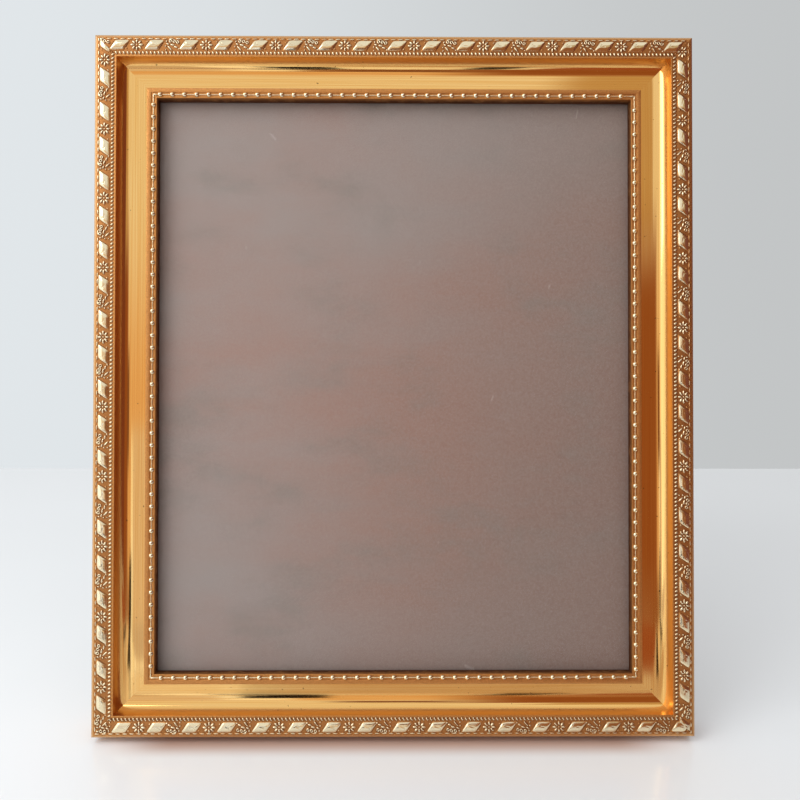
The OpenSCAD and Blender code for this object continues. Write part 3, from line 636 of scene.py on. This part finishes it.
def makeMoulding(rail, plan):
    # the cross section carried along the rail, its ends mitred: u = along * (length - 2 s)
    outline, rowSlot = mouldingOutline()
    columns = moulding["columns"]
    along = np.linspace(-0.5, 0.5, columns)[:, None]
    s = np.broadcast_to(outline[:, 0], (columns, len(outline)))
    d = np.broadcast_to(outline[:, 1], (columns, len(outline)))
    u = along * (plan["length"] - 2 * s)
    rows = len(outline)
    points = railToFrame(plan["turn"], u, s, d).reshape(-1, 3)
    travelled = np.concatenate([[0], np.cumsum(np.hypot(*np.diff(outline, axis=0).T))])
    uv = np.stack([u, np.broadcast_to(travelled, s.shape)], -1).reshape(-1, 2) * mm
    faces = gridQuads(columns, rows, True)[:, ::-1]
    slots = np.tile(rowSlot, columns - 1)
    caps = [np.arange(rows), (columns - 1) * rows + np.arange(rows)[::-1]]
    sight = outline[:, 0] == moulding["faceWidth"]  # the sight edge is painted darker towards the glass, as shade
    low = outline[:, 1] == moulding["glassSetback"]
    shade = np.where(sight, np.where(low, moulding["rabbetShade"], moulding["sightShade"]), 0)
    change = np.gradient(outline, axis=0)
    lean = np.degrees(np.arctan2(change[:, 1], np.abs(change[:, 0])))
    steep = np.clip((lean - moulding["steepFrom"]) / moulding["steepOver"], 0, 1)  # the foil is duller where steep: rougher, and painted darker there as shade
    steep = steep * (outline[:, 0] < moulding["stepAt"])
    values = {"recessShade": np.broadcast_to(shade, s.shape), "steep": np.broadcast_to(steep, s.shape)}
    piece = buildMesh(rail + "_moulding", points, faces, uv, values, slots,
                      [finish["foil"], finish["gilt"], finish["wood"]], 30.0, caps)
    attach(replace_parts(piece, rail), "frame")


# pearls on their thread
pearls = {"middle": 27.7, "pitch": 6.24, "radius": 1.4, "rise": 1.35, "base": 7.95, "floor": 8.45, "endGap": 1.9,
          "sides": 14, "rings": 6, "threadRadius": 0.27, "threadDrop": 7.98, "threadSides": 10, "threadStep": 0.6,
          "threadEnd": 2.4, "swell": 0.9, "twist": 0.15}


def makePearls(rail, plan):
    # each pearl is a dome, r = radius * cos(a), height = rise * sin(a); the thread is a round rod along u,
    # of radius threadRadius * (1 + swell * sin(pi * end) + twist * sin(4 pi u / pitch))
    reach = plan["length"] / 2 - pearls["middle"] - pearls["endGap"]
    first, last = (np.array([-reach, reach]) - plan["pearlAt"]) / pearls["pitch"]
    at = plan["pearlAt"] + pearls["pitch"] * np.arange(np.ceil(first), last)
    sides, rings = pearls["sides"], pearls["rings"]
    turn = np.linspace(0, 2 * np.pi, sides, endpoint=False)
    lift = np.radians(np.concatenate([[-20], np.linspace(0, 80, rings)]))
    r = pearls["radius"] * np.cos(lift)
    h = np.where(lift < 0, 0, pearls["rise"] * np.sin(lift))
    ringD = np.where(lift < 0, pearls["floor"], pearls["base"] - h)
    rows = len(lift)
    uDome = np.outer(r, np.cos(turn))
    sDome = pearls["middle"] + np.outer(r, np.sin(turn))
    dDome = np.broadcast_to(ringD[:, None], uDome.shape)
    u = at[:, None, None] + uDome
    s = np.broadcast_to(sDome, u.shape)
    d = np.broadcast_to(dDome, u.shape)
    each = rows * sides
    domePoints = railToFrame(plan["turn"], u, s, d).reshape(-1, 3)
    quads = gridQuads(rows, sides, True)
    faces = (quads + (np.arange(len(at)) * each)[:, None, None]).reshape(-1, 4)
    caps = []
    for start in (np.arange(len(at)) * each).tolist():
        caps.append(start + np.arange(sides)[::-1])
        caps.append(start + each - sides + np.arange(sides))
    # thread
    columns, around = int(plan["length"] / pearls["threadStep"]), pearls["threadSides"]
    angle = np.linspace(0, 2 * np.pi, around, endpoint=False)
    t = np.linspace(-0.5, 0.5, columns)[:, None]
    nearEnd = np.clip(1 - (0.5 - np.abs(t)) * plan["length"] / pearls["threadEnd"], 0, 1)
    wave = np.sin(t * plan["length"] / pearls["pitch"] * 12.56)
    thick = pearls["threadRadius"] * (1 + pearls["swell"] * np.sin(np.pi * nearEnd) + pearls["twist"] * wave)
    sThread = pearls["middle"] + thick * np.cos(angle)
    uThread = t * (plan["length"] - 2 * sThread)
    dThread = pearls["threadDrop"] - thick * np.sin(angle)
    threadPoints = railToFrame(plan["turn"], uThread, sThread, dThread).reshape(-1, 3)
    offset = len(domePoints)
    threadFaces = gridQuads(columns, around, True)[:, ::-1] + offset
    caps.append(offset + np.arange(around))
    caps.append(offset + (columns - 1) * around + np.arange(around)[::-1])
    points = np.concatenate([domePoints, threadPoints])
    faces = np.concatenate([faces, threadFaces])
    uv = [np.stack(pair, -1).reshape(-1, 2) for pair in ((u, s), (uThread, sThread))]
    uv = np.concatenate(uv) * mm
    piece = buildMesh(rail + "_pearls", points, faces, uv, {"raised": np.full(len(points), 1.0)}, None,
                      [finish["gilt"]], 60.0, caps)
    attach(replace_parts(piece, rail), "frame")


for rail, plan in railPlan.items():
    makeOrnament(rail, plan)
    makeMoulding(rail, plan)
    makePearls(rail, plan)
    print("rail made:", rail)


# the card bows a little behind the glass: depth = front + wave * sin(2 pi x / waveLength) * cos(pi z / height)
pictureSheet = {"width": 254.0, "height": 304.8, "front": 16.09, "back": 16.5, "wave": 0.025, "waveLength": 170.0,
                "columns": 60, "rows": 72}


def makePictureCard():
    p = pictureSheet
    columns, rows = p["columns"], p["rows"]
    x, z = np.meshgrid(np.linspace(-0.5, 0.5, columns), np.linspace(-0.5, 0.5, rows), indexing="ij")
    wave = p["wave"] * np.sin(2 * np.pi * x * p["width"] / p["waveLength"]) * np.cos(np.pi * z)
    x, z = x * p["width"], z * p["height"] + stand["height"] / 2
    front = leanBack(x, p["front"] + wave - stand["depth"], z).reshape(-1, 3)
    back = leanBack(x, np.full(x.shape, p["back"] - stand["depth"]), z).reshape(-1, 3)
    faces = gridQuads(columns, rows, False)[:, ::-1]
    number = np.arange(columns * rows).reshape(columns, rows)
    rim = np.concatenate([number[:, 0], number[-1, 1:], number[-2::-1, -1], number[0, -2:0:-1]])
    after = np.roll(rim, -1)
    behind = columns * rows
    walls = np.stack([rim + behind, after + behind, after, rim], -1)
    piece = buildMesh("picture_card_sheet", np.concatenate([front, back]),
                      np.concatenate([faces, faces[:, ::-1] + behind, walls]), materials=[finish["card"]])
    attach(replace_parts(piece, "picture_card"), "frame")


makePictureCard()
print("picture card made")

# stay ribbon
ribbon = {"width": 10.0, "thick": 0.4, "tab": 12.0, "reach": 150.0, "hinge": (2.3, 232.05), "gap": 1.6,
          "open": 19.0, "rib": 0.64, "ribRise": 0.03, "fineSteps": 1200, "foldSteps": 17, "columns": 560}
selvedge = {"at": [-5, -4.9, -4.3, -4.1, -3, -1.5, 0, 1.5, 3, 4.1, 4.3, 4.9, 5],
            "lift": [-0.10, 0.0, 0.0, -0.03, 0, 0, 0, 0, 0, -0.03, 0.0, 0.0, -0.10]}


def makeRibbon():
    # a flat band carried along board tab, taut span and strut tab, with cross ribs:
    # half thickness + ribRise * cos(2 pi along / rib)
    turn = np.radians(ribbon["open"])
    hingeY, hingeZ = ribbon["hinge"]
    offset = ribbon["gap"] - ribbon["thick"] / 2 - hingeY
    strutBend = np.array([hingeY + offset * np.cos(turn) + ribbon["reach"] * np.sin(turn),
                          hingeZ + offset * np.sin(turn) - ribbon["reach"] * np.cos(turn)])
    boardBend = np.array([ribbon["thick"] / 2, hingeZ - ribbon["reach"]])
    boardEnd = boardBend + [0, ribbon["tab"]]
    strutEnd = strutBend + ribbon["tab"] * np.array([np.sin(turn), -np.cos(turn)])
    route = np.array([boardEnd, boardBend, strutBend, strutEnd])
    lengths = np.concatenate([[0], np.cumsum(np.hypot(*np.diff(route, axis=0).T))])
    total = lengths[-1]
    fine = np.linspace(0, total, ribbon["fineSteps"])
    line = np.stack([np.interp(fine, lengths, route[:, 0]), np.interp(fine, lengths, route[:, 1])], -1)
    soft = ribbon["foldSteps"]  # rounds the two folds over about a millimetre
    padded = np.pad(line, ((soft, soft), (0, 0)), mode="reflect", reflect_type="odd")
    window = np.ones(2 * soft + 1) / (2 * soft + 1)
    line = np.stack([np.convolve(padded[:, k], window, "valid") for k in (0, 1)], -1)
    columns = ribbon["columns"]
    along = np.linspace(0, total, columns)
    y, z = np.interp(along, fine, line[:, 0]), np.interp(along, fine, line[:, 1])
    tangent = np.stack([np.gradient(y), np.gradient(z)], -1)
    tangent /= np.linalg.norm(tangent, axis=1)[:, None]
    normal = np.stack([-tangent[:, 1], tangent[:, 0]], -1)
    across = np.array(selvedge["at"]) / 5
    lift = np.array(selvedge["lift"])
    ribs = ribbon["ribRise"] * np.cos(2 * np.pi * along / ribbon["rib"])[:, None] * (np.abs(across) < 0.85)
    half = ribbon["thick"] / 2 - 0.035 + lift[None, :] * 0.6 + ribs
    x = np.broadcast_to(across * ribbon["width"] / 2, half.shape)
    front = leanBack(x, y[:, None] + half * normal[:, :1], z[:, None] + half * normal[:, 1:])
    rear = leanBack(x, y[:, None] - half * normal[:, :1], z[:, None] - half * normal[:, 1:])
    loop = np.concatenate([front, rear[:, ::-1]], 1)
    rows = loop.shape[1]
    acrossUv = np.concatenate([x, x[:, ::-1]], 1)
    uv = np.stack([np.broadcast_to(along[:, None], acrossUv.shape), acrossUv], -1).reshape(-1, 2) * mm
    caps = [np.arange(rows)[::-1], (columns - 1) * rows + np.arange(rows)]
    piece = buildMesh("stay_ribbon_cloth", loop.reshape(-1, 3), gridQuads(columns, rows, True), uv, None, None,
                      [finish["ribbon"]], 50.0, caps)
    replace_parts(piece, "stay_ribbon")
    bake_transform(piece)


makeRibbon()
print("ribbon made")


# floor, background and light
room = {"floorTint": (0.84, 0.865, 0.88), "floorRough": 0.16, "floorBehind": 0.513, "floorFront": -0.75,
        "floorSide": 4.0, "backLeft": (0.755, 0.795, 0.820), "backRight": (0.545, 0.560, 0.565),
        "shadeTint": (0.50, 0.37, 0.31), "shadeFrom": -0.050, "shadeTo": -0.063, "shadeSides": (0.110, 0.148)}


def makeFloor():
    material, tree, shader = newMaterial("pale_floor")
    tone = noise(tree, objectPlace(tree), 3.0, 2.0)
    clouded = spread(tree, tone, 0.3, 0.7)
    tint = blendColours(tree, clouded, colour(*room["floorTint"]), shaded(room["floorTint"], 0.98))
    # painted shadow: a reddish contact shadow along the frame's front foot, also standing in for warm light thrown
    # down by the gold
    x, y = axes(tree, objectPlace(tree), "XY")
    near = spread(tree, y, room["shadeTo"], room["shadeFrom"])
    beside = spread(tree, maths(tree, "ABSOLUTE", x), *room["shadeSides"], 1.0, 0.0)
    tint = blendColours(tree, maths(tree, "MULTIPLY", near, beside), tint, colour(*room["shadeTint"]))
    tree.links.new(tint, shader.inputs["Base Color"])
    shader.inputs["Roughness"].default_value = room["floorRough"]
    mesh = bpy.data.meshes.new("floor")
    front, back, side = room["floorFront"], room["floorBehind"], room["floorSide"]
    mesh.from_pydata([(-side, front, 0), (side, front, 0), (side, back, 0), (-side, back, 0)], [], [(0, 1, 2, 3)])
    mesh.materials.append(material)
    floor = bpy.data.objects.new("floor", mesh)
    bpy.context.scene.collection.objects.link(floor)


# what lights the object: pale from above, brighter left, dim and warm right, brown from below the floor's edge
sky = {"below": (0.35, 0.20, 0.13), "low": (0.83, 0.60, 0.41), "high": (0.90, 0.90, 0.91),
       "left": (1.38, 1.40, 1.42), "rightNear": (0.45, 0.30, 0.25), "rightFar": (0.24, 0.12, 0.10)}


def makeWorld():
    world = bpy.data.worlds.new("studio")
    bpy.context.scene.world = world
    world.use_nodes = True
    tree = world.node_tree
    tree.nodes.clear()
    output = tree.nodes.new("ShaderNodeOutputWorld")
    direction = tree.nodes.new("ShaderNodeTexCoord").outputs["Generated"]
    x, y, z = axes(tree, direction)
    # behind the object, and all that the camera itself sees: the pale backdrop, lighter on the left
    sideways = spread(tree, x, -0.45, 0.45)
    backdrop = blendColours(tree, sideways, colour(*room["backLeft"]), colour(*room["backRight"]))
    base = blendColours(tree, spread(tree, z, 0.18, 0.42), colour(*sky["low"]), colour(*sky["high"]))
    base = blendColours(tree, spread(tree, z, 0.0, -0.05), base, colour(*sky["below"]))
    base = blendColours(tree, spread(tree, x, -0.35, -0.60), base, colour(*sky["left"]))
    rightward = maths(tree, "SUBTRACT", x, maths(tree, "MULTIPLY", maths(tree, "MAXIMUM", z, 0.0), 0.55))
    base = blendColours(tree, spread(tree, rightward, 0.15, 0.40), base, colour(*sky["rightNear"]))
    base = blendColours(tree, spread(tree, rightward, 0.45, 0.75), base, colour(*sky["rightFar"]))
    base = blendColours(tree, spread(tree, y, 0.05, 0.4), base, backdrop)
    path = tree.nodes.new("ShaderNodeLightPath")
    shown = addNode(tree, "Background", Color=backdrop, Strength=1.0)
    lit = addNode(tree, "Background", Color=base, Strength=1.0)
    mix = addNode(tree, "MixShader", i0=path.outputs["Is Camera Ray"], i1=lit.outputs[0], i2=shown.outputs[0])
    tree.links.new(mix.outputs[0], output.inputs["Surface"])


lamps = [
    {"name": "softWindow", "spot": (-0.75, -0.55, 0.85), "aim": (0, 0, 0.18), "size": 0.60, "power": 2.6,
     "gloss": True},
    {"name": "frontFill", "spot": (-0.60, -1.40, 0.50), "aim": (0, 0, 0.18), "size": 1.0, "power": 6.0,
     "gloss": False},
    {"name": "tableLight", "spot": (-0.45, -0.45, 0.60), "aim": (-0.15, -0.22, 0), "size": 0.5, "power": 0.9,
     "gloss": False},
    {"name": "goldGlow", "spot": (0, -0.0515, 0.0035), "aim": (0, -0.0520, 0), "size": 0.29, "sizeY": 0.004,
     "power": 0.0007, "tint": (1.0, 0.45, 0.25), "gloss": False},
]

# pale, brown and dark shapes round the object that only its gloss sees: middle and half sizes in metres; soft is
# the share of the half size over which the edge fades; a standing one faces the front, a turned one faces across,
# a lying one is flat on the floor
blackish = (0.012, 0.008, 0.006)
skyWhite = (1.10, 1.18, 1.35)
mirrored = [
    {"name": "frontShape", "middle": (0.0, -0.46, 0.245), "half": (0.085, 0.085), "soft": 0.6,
     "tint": (0.24, 0.11, 0.06)},
    {"name": "lowShape", "middle": (-0.14, -0.70, 0.045), "half": (0.06, 0.05), "soft": 0.15, "tint": blackish},
    {"name": "tableShape", "middle": (-0.11, -0.50, 0.001), "half": (0.045, 0.20), "soft": 0.15,
     "tint": blackish, "set": "lying"},
    {"name": "paleTable", "middle": (-0.32, -0.49, 0.0005), "half": (0.15, 0.26), "soft": 0.2,
     "tint": (0.66, 0.62, 0.68), "set": "lying"},
    {"name": "brightTable", "middle": (-0.185, -0.49, 0.0007), "half": (0.035, 0.26), "soft": 0.3,
     "tint": skyWhite, "set": "lying"},
    {"name": "paleRoom", "middle": (-0.43, -1.0, 0.13), "half": (0.18, 0.19), "soft": 0.15,
     "tint": (0.80, 0.73, 0.74)},
    {"name": "brightRoom", "middle": (-0.22, -0.98, 0.13), "half": (0.07, 0.19), "soft": 0.3, "tint": skyWhite},
    {"name": "highSide", "middle": (0.42, -0.66, 0.73), "half": (0.22, 0.26), "soft": 0.35,
     "tint": (0.58, 0.44, 0.28)},
    {"name": "nearShade", "middle": (0.05, -0.22, 0.0008), "half": (0.17, 0.10), "soft": 0.6,
     "tint": (0.60, 0.49, 0.43), "set": "lying"},
    {"name": "redTable", "middle": (0.31, -0.49, 0.0005), "half": (0.15, 0.26), "soft": 0.2,
     "tint": (0.34, 0.11, 0.05), "set": "lying"},
    {"name": "rightShape", "middle": (0.115, -0.47, 0.001), "half": (0.028, 0.23), "soft": 0.15,
     "tint": blackish, "set": "lying"},
    {"name": "brownSide", "middle": (0.32, -0.655, 0.26), "half": (0.30, 0.34), "soft": 0.5,
     "tint": (0.31, 0.116, 0.045)},
    {"name": "rightRoom", "middle": (0.62, -0.30, 0.35), "half": (0.95, 0.75), "soft": 0.05,
     "tint": (0.20, 0.066, 0.045), "set": "turned"},
]


def fadingGlow(tree, shape):  # an even glow that fades to clear towards the rim, where uv is -1 or 1
    uv = axes(tree, railPlace(tree), "XY")
    inset = [maths(tree, "SUBTRACT", 1.0, maths(tree, "ABSOLUTE", way)) for way in uv]
    share = spread(tree, maths(tree, "MINIMUM", *inset), 0.0, shape["soft"])
    glow = addNode(tree, "Emission", Color=colour(*shape["tint"]), Strength=1.0)
    clear = addNode(tree, "BsdfTransparent")
    return addNode(tree, "MixShader", i0=share, i1=clear.outputs[0], i2=glow.outputs[0])


def makeMirrored():
    # each shape is one quad, its uv running from -1 to 1 both ways
    corners = np.array([(-1, -1), (1, -1), (1, 1), (-1, 1)])
    for shape in mirrored:
        wide, high = (corners * shape["half"]).T
        flat = 0 * wide
        sides = {"standing": (wide, flat, high), "turned": (flat, wide, high), "lying": (wide, high, flat)}
        points = shape["middle"] + np.stack(sides[shape.get("set", "standing")], -1)
        material = newSurface(shape["name"], fadingGlow, shape)
        piece = buildMesh(shape["name"], points, np.array([[0, 1, 2, 3]]), corners, None, None, [material])
        piece.visible_camera = piece.visible_diffuse = piece.visible_shadow = piece.visible_transmission = False


def makeLamps():
    for lamp in lamps:
        data = bpy.data.lights.new(lamp["name"], "AREA")
        data.size, data.energy = lamp["size"], lamp["power"]
        data.color = lamp.get("tint", (1, 1, 1))
        if "sizeY" in lamp:
            data.shape, data.size_y = "RECTANGLE", lamp["sizeY"]
        light = bpy.data.objects.new(lamp["name"], data)
        bpy.context.scene.collection.objects.link(light)
        light.location = lamp["spot"]
        light.rotation_mode = "QUATERNION"
        beam = Vector(lamp["aim"]) - Vector(lamp["spot"])
        light.rotation_quaternion = beam.to_track_quat("-Z", "Y")
        light.visible_camera = False
        light.visible_glossy = lamp["gloss"]


makeFloor()
makeWorld()
makeLamps()
makeMirrored()
bpy.context.scene.view_settings.view_transform = "Standard"
print("floor, background and light made")
